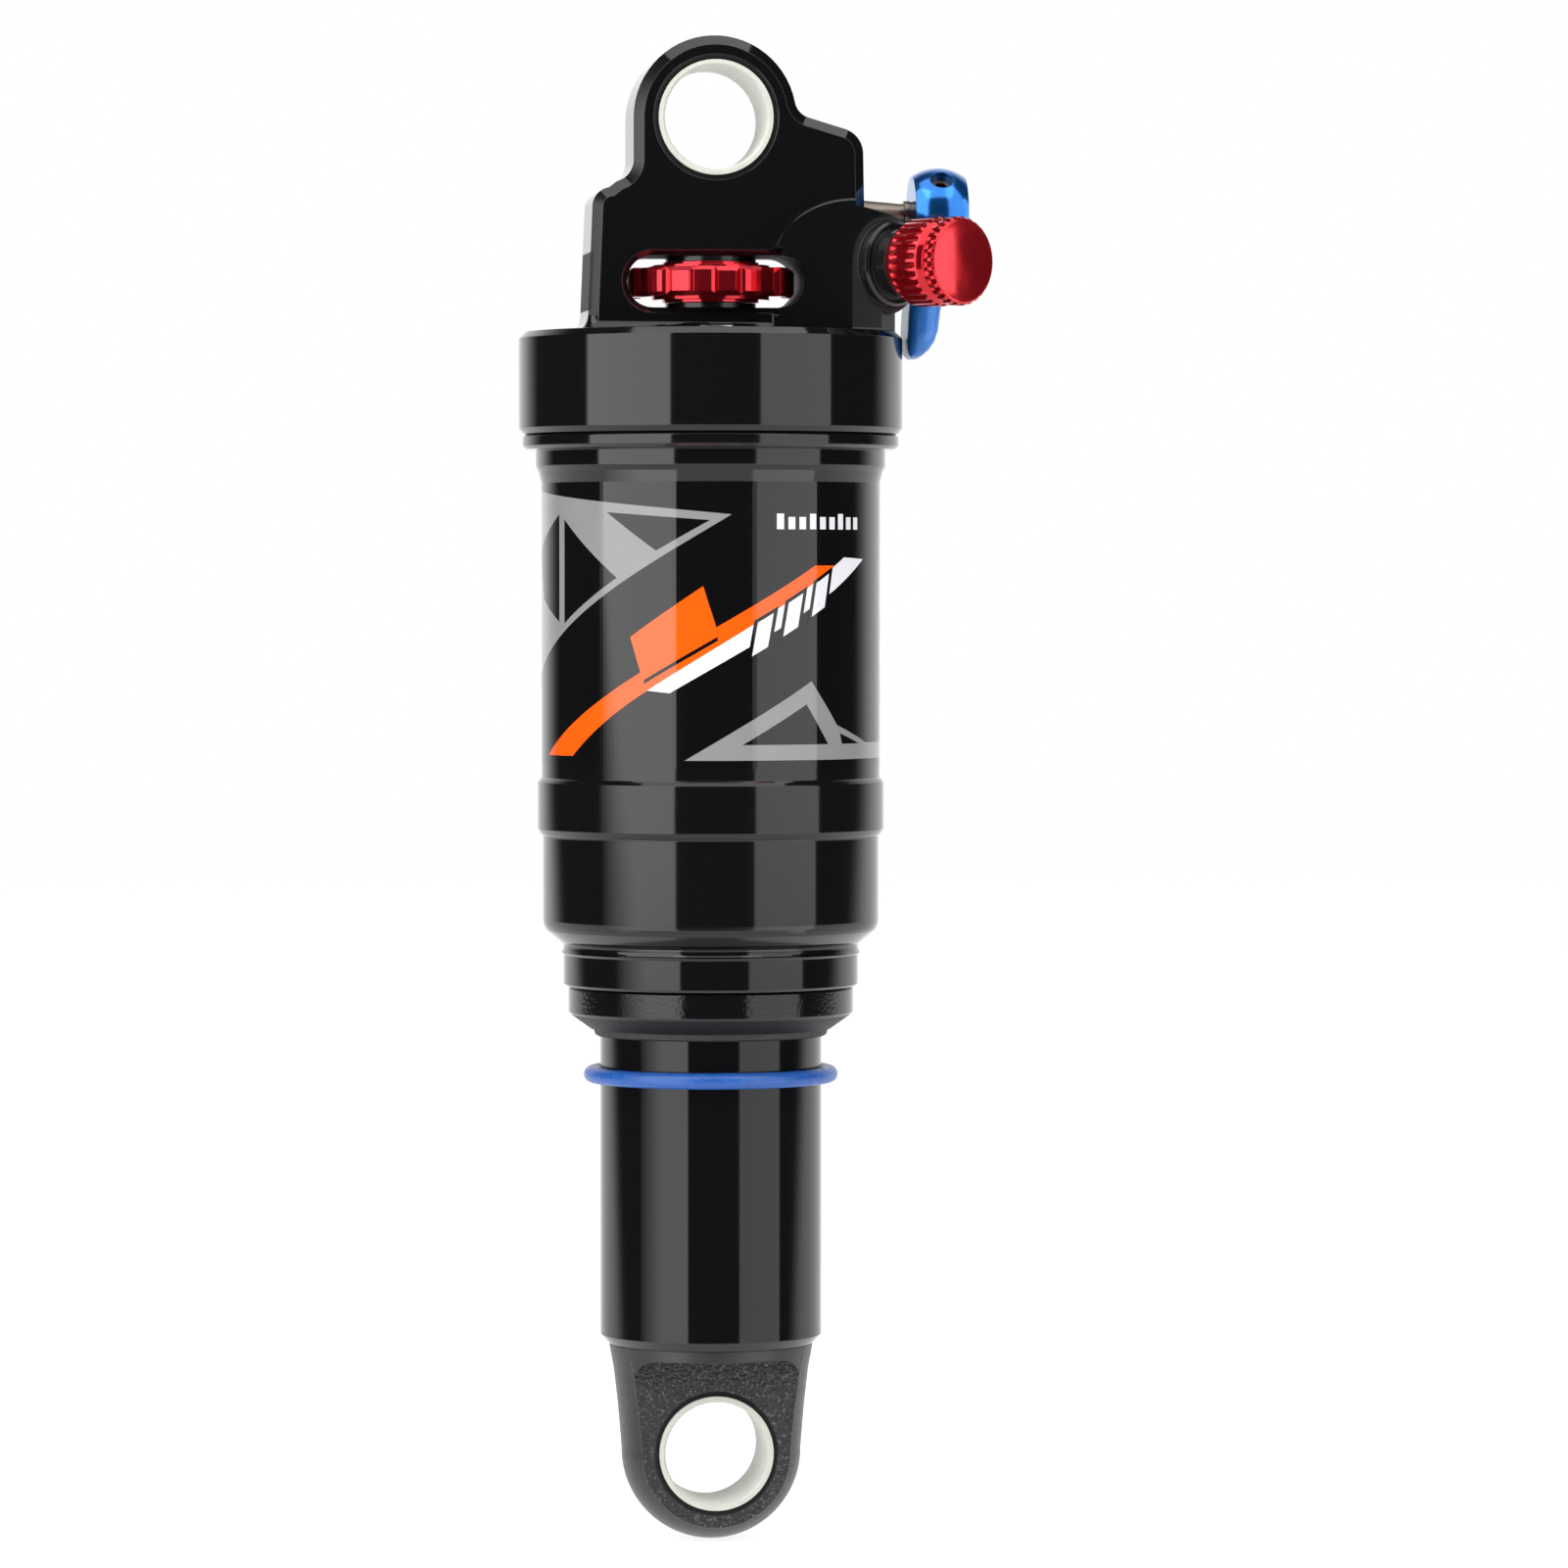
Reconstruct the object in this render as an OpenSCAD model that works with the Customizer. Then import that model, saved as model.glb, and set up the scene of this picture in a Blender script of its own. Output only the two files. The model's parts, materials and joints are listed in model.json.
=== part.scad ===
// Air-sprung rear shock of a mountain bike, 165 mm between its eyes with 35 mm of stroke.
// Millimetres. The origin is the centre of the upper eye, +Z runs up along the shock, and both
// eye bores lie along Y. The air valve and the lockout lever are on the +X side.

/* [Eyes] */
// Distance between the two eye centres at full extension
eye_to_eye = 165; // [165:1:165]
// Bore of the eye bushings, which takes half-inch mounting hardware
bushing_bore = 12.7; // [12.7:0.1:12.7]
// Wall of the eye bushings
bushing_wall = 0.75; // [0.6:0.05:0.9]
// Thickness of both eyes along Y
eye_thick = 12.7; // [12.5:0.1:13]
// Radius of the upper eye
eye_r = 10.1; // [9.8:0.1:10.3]
// Radius of the lower eye
lower_eye_r = 11.15; // [11:0.05:11.3]

/* [Travel] */
// Stroke of the shock
stroke = 35; // [30:1:35]
// Travel of the floating piston inside the damper body
ifp_travel = 6.1; // [5:0.1:6.1]

/* [Head] */
// Outer radius of the collar
collar_r = 23.8; // [23.6:0.1:24]
// Top of the collar
collar_top = -26.3; // [-26.4:0.1:-26.2]
// Bottom of the collar
collar_end = -38.9; // [-39:0.1:-38.8]
// Chamfer round both faces of the head's plate
plate_bevel = 1.2; // [0.8:0.1:1.4]

/* [Rebound dial] */
// Middle height of the dial and its window
dial_z = -20.2; // [-20.3:0.1:-20.1]
// Outer radius of the dial
dial_r = 10.4; // [10.2:0.1:10.4]
// Number of grips round the dial
dial_grips = 10; // [8:1:12]

/* [Air valve] */
// Direction of the valve, turned from -Y towards +X
valve_turn = 36.87; // [35:0.01:38]
// Height of the valve's axis
valve_z = -18.2; // [-18.3:0.1:-18.1]
// Outer radius of the valve boss
boss_r = 7.25; // [7:0.05:7.4]
// Grip ridges round the valve cap
cap_ridges = 30; // [24:1:36]

/* [Lockout] */
// Height of the lockout spindle's axis
spindle_z = -11.4; // [-11.5:0.1:-11.3]
// Middle of the lever's hub along X
lever_x = 28.4; // [28:0.1:28.8]

/* [Air can] */
// Outer radius of the can
can_r = 21; // [20.9:0.1:21.1]
// Inner radius of the can
can_bore_r = 19; // [18.8:0.1:19]
// Lower end of the can
can_end = -107.3; // [-107.4:0.1:-107.2]

/* [Damper] */
// Outer radius of the damper body
body_r = 13.75; // [13.6:0.05:13.8]
// Inner radius of the damper body
body_bore_r = 12; // [11.8:0.1:12]
// Radius of the hollow damper shaft
shaft_r = 5; // [4.9:0.1:5]

/* [Hidden] */
$fn = 96;

anodised_black = [0.07, 0.07, 0.08];
anodised_red = [0.78, 0.07, 0.1];
anodised_blue = [0.1, 0.35, 0.75];
ivory = [0.88, 0.87, 0.78];
rubber = [0.12, 0.12, 0.12];
steel = [0.62, 0.62, 0.64];
brass = [0.75, 0.62, 0.35];

fine = 6;        // degrees between the points of a large arc
coarse = 15;     // degrees between the points of a small fillet
run = 0.03;      // radial running clearance
slip = 0.05;     // radial clearance of a threaded or loose fit
through = 60;    // length of a cut that passes right through

bushing_r = bushing_bore / 2 + bushing_wall;
foot_r = 2;                                  // fillet between the plate and the collar
shoulder_slope = 16;                         // fall of the plate's right shoulder, in degrees
neck_angle = 11;                             // where the right shoulder leaves the upper eye
neck_r = 2.4;
socket_r = 21.55;                            // socket for the can's neck, under the collar
socket_roof = -31;
window_h = 6.4;
window_w = 22;
hub_r = 5.65;                                // washers above and below the dial
hub_h = 5.0;
rim_h = 3.6;
detent_y = 4.3;                              // from the dial's axis to the detent, to the front
tube_r = 3;                                  // rebound tube
rod_r = 1.5;                                 // lockout rod
cam_r = 1.7;
cam_throw = 0.9;
journal_r = cam_r + cam_throw + 0.1;         // bearing part of the lockout spindle
valve_face = [20.5, -11, valve_z];           // centre of the boss's end face
boss_end_r = 6.2;
boss_taper = 4.5;                            // length of the taper at the boss's end
stem_start = 4.2;                            // along the valve's axis, from the end face
stem_end = 12;
cap_len = 9.2;
stem_r = 3.85;
shaft_top = -25.5;
shoulder_z = -93.2;                          // where the shaft steps down for the piston
shaft_end = -104.2;
piston_top = -95;
piston_end = -100;
air_piston_top = -78;
air_piston_end = -86;
tube_end = -151.7;
neck_bore_r = 16;
seal_z = -112.6;
lower_z = -eye_to_eye;
bumper_end = air_piston_top + stroke + 2.5;  // the bottom-out bumper is squeezed by the last 2.5 mm
ifp_top = shaft_end - stroke - 1.9 + ifp_travel;

// ---------------------------------------------------------------- outlines

function unit(v) = v / norm(v);

function polar(r, a) = r * [cos(a), sin(a)];

// Points of an arc about c, from angle a0 to a1, no more than step degrees apart
function arc(c, r, a0, a1, step = fine) =
    let (n = ceil(abs(a1 - a0) / step)) [for (i = [0:n]) c + polar(r, a0 + (a1 - a0) * i / n)];

// An anticlockwise outline moved inwards by d
function inset(p, d) = let (n = len(p)) [for (i = [0:n - 1])
    let (a = unit(p[i] - p[(i + n - 1) % n]), b = unit(p[(i + 1) % n] - p[i]),
        na = [-a[1], a[0]], nb = [-b[1], b[0]])
    p[i] + d * (na + nb) / (1 + na * nb)];

function at_z(p, z) = [for (q = p) [q[0], q[1], z]];

// Rounded rectangle between two corners
function round_rect(lo, hi, r, step = coarse) = concat(
    arc([hi[0] - r, lo[1] + r], r, -90, 0, step), arc([hi[0] - r, hi[1] - r], r, 0, 90, step),
    arc([lo[0] + r, hi[1] - r], r, 90, 180, step), arc([lo[0] + r, lo[1] + r], r, 180, 270, step));

// Solid skin over a stack of rings with equal numbers of points, anticlockwise from above
module loft(rings) {
    n = len(rings[0]);
    top = (len(rings) - 1) * n;
    sides = [for (j = [0:len(rings) - 2], i = [0:n - 1])
        [j * n + i, (j + 1) * n + i, (j + 1) * n + (i + 1) % n, j * n + (i + 1) % n]];
    ends = [[for (i = [0:n - 1]) i], [for (i = [n - 1:-1:0]) top + i]];
    polyhedron([for (r = rings) each r], concat(ends, sides));
}

// Closed loop of triangular section that takes the upper edge off a prism, bevel wide at 45 degrees
module edge_cutter(outline, top, bevel) {
    over = 0.3;
    n = len(outline);
    outer = inset(outline, -over);
    section = [at_z(inset(outline, bevel + over), top + over), at_z(outer, top + over),
        at_z(outer, top - bevel - over)];
    polyhedron([for (ring = section) each ring], [for (i = [0:n - 1], k = [0:2])
        let (j = (i + 1) % n, m = (k + 1) % 3) [k * n + i, k * n + j, m * n + j, m * n + i]]);
}

// Plate in the XZ plane, centred on Y = 0, with the edges of both faces bevelled
module bevelled_plate(outline, thick, bevel) {
    rotate([90, 0, 0]) difference() {
        translate([0, 0, -thick / 2]) linear_extrude(thick) polygon(outline);
        edge_cutter(outline, thick / 2, bevel);
        mirror([0, 0, 1]) edge_cutter(outline, thick / 2, bevel);
    }
}

// Cutter for a window right through a plate in the XZ plane, flared where it meets both faces
module flared_cutter(outline, thick, flare) {
    half = thick / 2;
    rotate([90, 0, 0]) {
        loft([at_z(inset(outline, -flare - 0.5), -half - 0.5), at_z(outline, flare - half),
            at_z(outline, half - flare), at_z(inset(outline, -flare - 0.5), half + 0.5)]);
        translate([0, 0, -through / 2]) linear_extrude(through) polygon(inset(outline, 0.01));
    }
}

module ring(r_in, r_out, z0, z1) {
    translate([0, 0, z0]) difference() {
        cylinder(r = r_out, h = z1 - z0);
        translate([0, 0, -1]) cylinder(r = r_in, h = z1 - z0 + 2);
    }
}

// O-ring between two radii, centred at height z
module oring(r_in, r_out, z) {
    section = (r_out - r_in) / 2;
    translate([0, 0, z]) rotate_extrude() translate([(r_in + r_out) / 2, 0]) circle(section, $fn = 24);
}

module along_y(z = 0) {
    translate([0, 0, z]) rotate([90, 0, 0]) children();
}

// Children's +Z becomes the spindle's +X
module on_spindle() {
    translate([0, 0, spindle_z]) rotate([0, 90, 0]) children();
}

// Children's +Z becomes the valve's outward axis, with 0 at the boss's end face
module on_valve() {
    translate(valve_face) rotate([0, 0, valve_turn]) rotate([90, 0, 0]) children();
}

module eye_bore() {
    chamfer = 0.45;
    cylinder(r = bushing_r, h = through, center = true);
    for (s = [-1, 1]) translate([0, 0, s * (eye_thick / 2 - chamfer / 2)]) mirror([0, 0, s < 0 ? 1 : 0])
        cylinder(r1 = bushing_r, r2 = bushing_r + 2 * chamfer, h = 2 * chamfer, center = true);
}

module bushing() {
    half = eye_thick / 2;
    relief = 0.25;
    bore = bushing_bore / 2;
    rotate_extrude() polygon([[bore, relief - half], [bore + relief, -half], [bushing_r, -half],
        [bushing_r, half], [bore + relief, half], [bore, half - relief]]);
}

// ---------------------------------------------------------------- head

// Front outline of the head's plate, anticlockwise from its lower left corner
function head_outline() =
    let (neck_c = polar(eye_r + neck_r, neck_angle), shoulder_r = 3.2, shoulder_c = [15.2, -4.35])
    concat([[-15.95, -29], [18.8, -29]],
        arc(shoulder_c, shoulder_r, 3, 90 - shoulder_slope, coarse / 2),
        arc(neck_c, neck_r, 270 - shoulder_slope, 180 + neck_angle, coarse / 2),
        arc([0, 0], eye_r, neck_angle + fine, 180),
        arc([-12.9, -5.2], 2.8, 0, -75, coarse / 2),
        arc([-12.85, -11], 2.35, 98, 178, coarse / 2));

module collar() {
    rotate_extrude() polygon([[0, collar_top], [collar_r - 0.8, collar_top], [collar_r, collar_top - 0.8],
        [collar_r, collar_end + 0.7], [collar_r - 0.5, collar_end], [0, collar_end]]);
}

// Fillet between the plate's foot and the collar
module plate_foot() {
    steps = 6;
    lo = [-15.9, -eye_thick / 2];
    hi = [18.75, eye_thick / 2];
    grow = function(a) foot_r * (1 - sin(a)) - 0.1;
    loft([for (i = [0:steps]) let (a = 90 * i / steps, g = grow(a))
        at_z(round_rect(lo - [g, g], hi + [g, g], plate_bevel + g + 0.1),
            collar_top - 0.1 + foot_r * (1 - cos(a)))]);
}

// Boss for the air valve: a round barrel that stands on the collar
module valve_boss() {
    back = 12.5;
    edge = 0.3;
    on_valve() rotate_extrude() polygon([[0, -back], [boss_r, -back], [boss_r, -boss_taper],
        [boss_end_r, -edge], [boss_end_r - edge, 0], [0, 0]]);
    intersection() {
        translate([valve_face[0], valve_face[1], collar_top - 0.5]) rotate([0, 0, valve_turn])
            linear_extrude(valve_z - collar_top + 0.5) polygon([[-boss_r, back],
                [-boss_r, boss_taper], [-boss_end_r, edge], [edge - boss_end_r, 0],
                [boss_end_r - edge, 0], [boss_end_r, edge], [boss_r, boss_taper], [boss_r, back]]);
        translate([0, 0, collar_top - 1]) cylinder(r = collar_r - 0.9, h = 20);
    }
}

// Fillet where the valve boss grows out of the plate's front face
module boss_fillet() {
    steps = 6;
    face_y = -eye_thick / 2;
    slant = cos(valve_turn);
    low = collar_top - valve_z - 0.2;
    side = function(g) concat([[-boss_r - g, low], [boss_r + g, low]], arc([0, 0], boss_r + g, 0, 180));
    axis_x = function(y) valve_face[0] - (y - valve_face[1]) * tan(valve_turn);
    intersection() {
        rotate([90, 0, 0]) loft([for (i = [0:steps]) let (a = 90 * i / steps,
            g = foot_r * (1 - sin(a)) - 0.1, y = face_y + 0.1 - foot_r * (1 - cos(a)))
            [for (q = side(g)) [axis_x(y) + q[0] / slant, q[1] + valve_z, -y]]]);
        translate([-10, -20, -40]) cube([27.3, 40, 40]);
    }
}

// Blind hole under the dial for the detent's spring and ball
module detent_bore() {
    translate([0, -detent_y, shaft_top - 1]) cylinder(r = 0.8, h = dial_z - shaft_top);
}

module window() {
    end_r = window_h / 2;
    reach = window_w / 2 - end_r;
    outline = concat(arc([reach, dial_z], end_r, -90, 90, 10), arc([-reach, dial_z], end_r, 90, 270, 10));
    flared_cutter(outline, eye_thick, 0.7);
}

module head() color(anodised_black) difference() {
    union() {
        bevelled_plate(head_outline(), eye_thick, plate_bevel);
        collar();
        plate_foot();
        valve_boss();
        boss_fillet();
    }
    along_y() eye_bore();
    window();
    translate([0, 0, collar_end - 1]) cylinder(r = socket_r, h = socket_roof - collar_end + 1);
    translate([0, 0, socket_roof - 1]) cylinder(r = 7, h = shaft_top - socket_roof + 1);
    translate([0, 0, shaft_top - 1]) cylinder(r = tube_r + 0.1, h = dial_z - shaft_top + 1);
    translate([0, 0, dial_z]) cylinder(r = rod_r + 0.1, h = spindle_z - dial_z);
    on_spindle() translate([0, 0, -3]) cylinder(r = journal_r + slip, h = 19.6);
    on_spindle() translate([0, 0, 10]) cylinder(r = 1.7, h = 15);
    on_spindle() translate([0, 0, 16.6]) cylinder(r = 3, h = 5);
    on_valve() translate([0, 0, -8]) cylinder(r = 4, h = 12);
    on_valve() translate([0, 0, -0.4]) cylinder(r = 5.3, h = 1);
    translate([16.6, -5.8, socket_roof - 1]) cylinder(r = 1.25, h = 14);
    detent_bore();
}

module upper_bushing() color(ivory) along_y() bushing();

// ---------------------------------------------------------------- air can and its seals

module air_can() color(anodised_black) rotate_extrude() polygon(concat(
    [[can_bore_r, -31.2], [can_bore_r, -99.8], [neck_bore_r, -99.8], [neck_bore_r, can_end],
        [18, can_end], [18.3, can_end + 0.3]],
    [[18.3, -103.4]], arc([19.3, -102.4], 1, 225, 160, coarse),
    arc([18.85, -99.1], 2, -40, 0, coarse),
    [[20.85, -88.8]], arc([21.25, -88.8], 0.4, 180, 115, coarse),
    [[21.5, -87.8], [21.5, -82], [21.2, -81.6], [can_r, -81.4]],
    [[can_r, -45.1], [21.35, -43.6]], [[21.7, -42.9], [21.7, -41], [22.9, -40.8], [23.35, -40.4],
        [23.35, -39.3], [22.95, collar_end]],
    [[21.5, collar_end], [21.5, -36.3], [20.1, -36.3], [20.1, -34.6], [21.5, -34.6], [21.5, -31.6],
        [21.1, -31.2]]));

module can_oring() color(rubber) oring(20.12, 21.53, -35.45);

module seal_head() color(anodised_black) rotate_extrude() polygon([[body_r + run, -100.2],
    [neck_bore_r - slip, -100.2], [neck_bore_r - slip, -104], [neck_bore_r - 1, -104],
    [neck_bore_r - 1, -105.3], [neck_bore_r - slip, -105.3], [neck_bore_r - slip, can_end - slip],
    [17.4, can_end - slip], [17.7, can_end - 0.35], [17.7, -110.5], [17.45, -110.8], [14.95, seal_z],
    [14.6, seal_z], [14.6, -110.3], [body_r + run, -110.3], [body_r + run, -103.2], [14.98, -103.2],
    [14.98, -101.8], [body_r + run, -101.8]]);

module seal_head_oring() color(rubber) oring(15.02, 15.98, -104.65);

module body_seal() color(rubber) oring(body_r + run, 14.96, -102.5);

module wiper_seal() color(rubber) rotate_extrude() polygon([[body_r + run, -110.5], [14.58, -110.5],
    [14.58, seal_z], [14.4, -113.3], [14.1, -113.5], [body_r + run, -113.3], [13.95, seal_z],
    [13.95, -111.2]]);

module top_out_bumper() color(rubber) ring(14.2, 18, -99.78, -96.6);

module bottom_out_bumper() color([0.5, 0.5, 0.48]) rotate_extrude() polygon([[8.3, socket_roof - 0.05],
    [13, socket_roof - 0.05], [13, -36], [11.5, bumper_end], [8.3, bumper_end]]);

// ---------------------------------------------------------------- damper, parts fixed to the head

module damper_shaft() color(steel) difference() {
    union() {
        translate([0, 0, socket_roof]) cylinder(r = 7 - slip, h = shaft_top - socket_roof - 0.1);
        translate([0, 0, socket_roof - 2.2]) cylinder(r = 8, h = 2.2, $fn = 6);
        translate([0, 0, shoulder_z]) cylinder(r = shaft_r, h = socket_roof - shoulder_z - 1);
        translate([0, 0, shaft_end]) cylinder(r = 3.5, h = shoulder_z - shaft_end + 1);
    }
    translate([0, 0, -90]) cylinder(r = tube_r + slip, h = 70);
    translate([0, 0, -91.5]) cylinder(r1 = rod_r + 0.1, r2 = tube_r + slip, h = 1.5);
    translate([0, 0, shaft_end - 1]) cylinder(r = rod_r + 0.1, h = 20);
    translate([0, 0, -92.2]) rotate([0, 90, 0]) cylinder(r = 0.6, h = 20, center = true, $fn = 24);
}

module damper_piston() color(brass) difference() {
    ring(3.52, body_bore_r - 0.1, piston_end, piston_top);
    ring(11, 13, -98.8, -96.2);
    for (a = [0:60:300]) rotate([0, 0, a]) translate([7.5, 0, piston_end - 1])
        cylinder(r = 1.1, h = 8, $fn = 24);
}

module piston_band() color([0.3, 0.22, 0.15]) ring(11.02, body_bore_r - run, -98.75, -96.25);

module compression_shims() color(steel) for (i = [0:3])
    ring(3.55, 10.2 - 1.6 * i, piston_end - 0.32 * (i + 1), piston_end - 0.32 * i - 0.02);

module rebound_shims() color(steel) for (i = [0:4])
    ring(3.55, 9.8 - 1.2 * i, piston_top + 0.34 * i + 0.02, piston_top + 0.34 * (i + 1));

module piston_nut() color(steel) difference() {
    translate([0, 0, -103.9]) cylinder(r = 5.8, h = 2.55, $fn = 6);
    translate([0, 0, -105]) cylinder(r = 3.52, h = 5);
}

// ---------------------------------------------------------------- air valve

module valve_body() color([0.1, 0.1, 0.11]) on_valve() rotate_extrude() polygon([[2.6, -7], [3.95, -7],
    [3.95, 0.35], [4.95, 0.35], [5.2, 0.6], [5.2, 1.5], [4.9, 1.8], [4.3, 1.8], [4.3, stem_start - 0.3],
    [stem_r, stem_start - 0.1], [stem_r, stem_end - 0.4], [stem_r - 0.4, stem_end], [2.6, stem_end]]);

module valve_gasket() color(rubber) on_valve() ring(4, 5.2, -0.38, 0.33);

module valve_core() color(brass) on_valve() difference() {
    union() {
        translate([0, 0, 3]) cylinder(r = 2.55, h = 5.4);
        translate([0, 0, 8]) cylinder(r = 1.9, h = 3);
    }
    translate([0, 0, 2]) cylinder(r = 0.62, h = 10, $fn = 24);
}

module valve_pin() color(brass) on_valve() {
    translate([0, 0, 2.3]) cylinder(r = 0.55, h = 9.3, $fn = 24);
    translate([0, 0, 2.3]) cylinder(r = 1.5, h = 0.68, $fn = 32);
}

module cap_washer() color(rubber) on_valve() translate([0, 0, stem_end + 0.05]) cylinder(r = 3.5, h = 0.35);

// Ridged prism for the cap's grip
module ridges(r, depth, z0, z1) {
    pitch = 360 / cap_ridges;
    corners = [[0, r], [0.3, r], [0.55, r - depth], [0.75, r - depth]];
    translate([0, 0, z0]) linear_extrude(z1 - z0) polygon([for (i = [0:cap_ridges - 1])
        for (k = corners) polar(k[1], (i + k[0]) * pitch)]);
}

module valve_cap() color(anodised_red) on_valve() translate([0, 0, stem_start]) difference() {
    union() {
        rotate_extrude() polygon([[0, 0], [4.6, 0], [5.2, 1.2], [5.2, 5.9], [4.6, 6.55], [5.2, 7.15],
            [5.2, cap_len - 0.15], [5.05, cap_len], [0, cap_len]]);
        ridges(5.42, 0.3, 1.5, 5.7);
        ridges(5.42, 0.3, 7.25, cap_len - 0.35);
    }
    translate([0, 0, -1]) cylinder(r = stem_r + 0.1, h = 9.25);
}

// ---------------------------------------------------------------- lockout

module spindle_bush() color(anodised_black) on_spindle() ring(1.68, 2.98, 16.65, 18.6);

module lockout_spindle() color([0.5, 0.46, 0.4]) on_spindle() {
    translate([0, 0, -2.9]) cylinder(r = journal_r, h = 1.1);
    translate([-cam_throw, 0, -1.9]) cylinder(r = cam_r, h = 3.8);
    difference() {
        translate([0, 0, 1.8]) cylinder(r = journal_r, h = 14.75);
        ring(1.95, 4, 12, 13.5);
    }
    translate([0, 0, 16]) cylinder(r = 1.6, h = 3);
    translate([0, 0, 19]) cylinder(r1 = 1.6, r2 = 1.2, h = 4.6);
    translate([0, 0, 23.5]) cylinder(r = 1.2, h = 1);
    translate([0, 0, 24.1]) cylinder(r = 1.55, h = 0.7);
    translate([0, 0, 24.7]) cylinder(r = 1.45, h = 6.35);
}

module spindle_oring() color(rubber) on_spindle() oring(1.97, journal_r + slip - 0.02, 12.75);

// Rings of the lever's arm, from inside its hub to its tip: height, low X, high X, half width along Y
arm_rings = [[-11.6, 26, 30.8, 3.2], [-15, 25.6, 30.4, 3.9], [-18, 25.1, 29.6, 4.3],
    [-21, 24.6, 28.8, 4.6], [-24, 24.3, 28.3, 4.8], [-26, 24.2, 28.05, 4.8], [-27.4, 24.2, 27.6, 4.5],
    [-28.4, 24.3, 26.95, 3.9], [-29.1, 24.5, 26.2, 3.1], [-29.5, 24.9, 25.6, 2.1]];

module lever_arm() loft([for (i = [len(arm_rings) - 1:-1:0]) let (g = arm_rings[i])
    at_z(round_rect([g[1], -g[3]], [g[2], g[3]], 0.46 * (g[2] - g[1])), g[0])]);

screw_tilt = 47;     // the lever's set screw points up and to the front

module lockout_lever() color(anodised_blue) difference() {
    union() {
        intersection() {
            translate([lever_x, 0, spindle_z]) sphere(5.65);
            translate([lever_x - 3.3, -10, spindle_z - 10]) cube([6.6, 20, 20]);
        }
        lever_arm();
    }
    on_spindle() translate([0, 0, 20]) cylinder(r = 1.45, h = lever_x - 20 + 2.7);
    translate([lever_x, 0, spindle_z]) rotate([90 - screw_tilt, 0, 0]) cylinder(r = 1.475, h = 8);
}

module lever_screw() color([0.2, 0.19, 0.18]) translate([lever_x, 0, spindle_z])
    rotate([90 - screw_tilt, 0, 0]) difference() {
        translate([0, 0, 1.46]) cylinder(r = 1.46, h = 2.9);
        translate([0, 0, 2.8]) cylinder(r = 0.85, h = 3, $fn = 6);
    }

module lockout_rod() color(steel) translate([0, 0, -101.5])
    cylinder(r = rod_r, h = 101.5 + spindle_z - cam_r + cam_throw - 0.02);

// ---------------------------------------------------------------- rebound dial

module dial_washers() color([0.08, 0.08, 0.08]) difference() {
    union() for (s = [-1, 1]) translate([0, 0, s < 0 ? dial_z - window_h / 2 : dial_z + hub_h / 2 + 0.05])
        cylinder(r = hub_r, h = (window_h - hub_h) / 2 - 0.05);
    translate([0, 0, dial_z - 10]) cylinder(r = tube_r + 0.15, h = 20);
    detent_bore();
}

module detent_spring() color(steel) for (i = [0:2]) translate([0, -detent_y, shaft_top + 0.2 + 0.4 * i])
    rotate_extrude() translate([0.55, 0]) circle(0.15, $fn = 16);

module detent_ball() color(steel) translate([0, -detent_y, dial_z - hub_h / 2 - 0.77]) sphere(0.74, $fn = 48);

// Outline of the dial: rounded grips with flat-bottomed notches between them
function dial_outline() = [for (i = [0:dial_grips - 1])
    let (a = 360 * i / dial_grips - 102, step = 360 / dial_grips)
    each concat([for (k = [-0.24, -0.17, -0.06, 0.06, 0.17, 0.24])
        polar(abs(k) > 0.2 ? dial_r - 0.25 : dial_r, a + k * step)],
        [polar(dial_r - 1.0, a + 0.31 * step), polar(dial_r - 1.0, a + 0.69 * step)])];

// Wedge that takes the edge off one notch, on the face towards s
module notch_edge(s) {
    edge = 0.9;
    translate([dial_r - 1, 0, s * rim_h / 2]) rotate([0, 45, 0]) cube([edge, 3.6, edge], center = true);
}

module rebound_dial() color(anodised_red) translate([0, 0, dial_z]) difference() {
    union() {
        intersection() {
            translate([0, 0, -rim_h / 2]) linear_extrude(rim_h) polygon(dial_outline());
            rotate_extrude() polygon([[0, -rim_h / 2], [dial_r - 0.5, -rim_h / 2],
                [dial_r + 0.02, 0.5 - rim_h / 2], [dial_r + 0.02, rim_h / 2 - 0.5],
                [dial_r - 0.5, rim_h / 2], [0, rim_h / 2]]);
        }
        cylinder(r = 7.3, h = rim_h + 0.7, center = true);
        cylinder(r = hub_r + 0.35, h = hub_h, center = true);
    }
    for (i = [0:dial_grips - 1]) rotate([0, 0, 360 * (i + 0.5) / dial_grips - 102]) {
        notch_edge(-1);
        notch_edge(1);
    }
    cylinder(d = 5.1 / cos(30), h = 10, center = true, $fn = 6);
}

module rebound_tube() color(brass) difference() {
    union() {
        translate([0, 0, -89.4]) cylinder(r = tube_r, h = 66);
        translate([0, 0, -24]) cylinder(d = 5.0 / cos(30), h = 6.1, $fn = 6);
    }
    translate([0, 0, -90]) cylinder(r = rod_r + slip, h = 80);
}

// ---------------------------------------------------------------- damper, parts that slide

module air_seal() color(rubber) ring(16.93, can_bore_r - run, -82.85, -80.05);

module glide_ring() color([0.35, 0.27, 0.18]) ring(17.93, can_bore_r - run, -85.35, -83.65);

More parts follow.
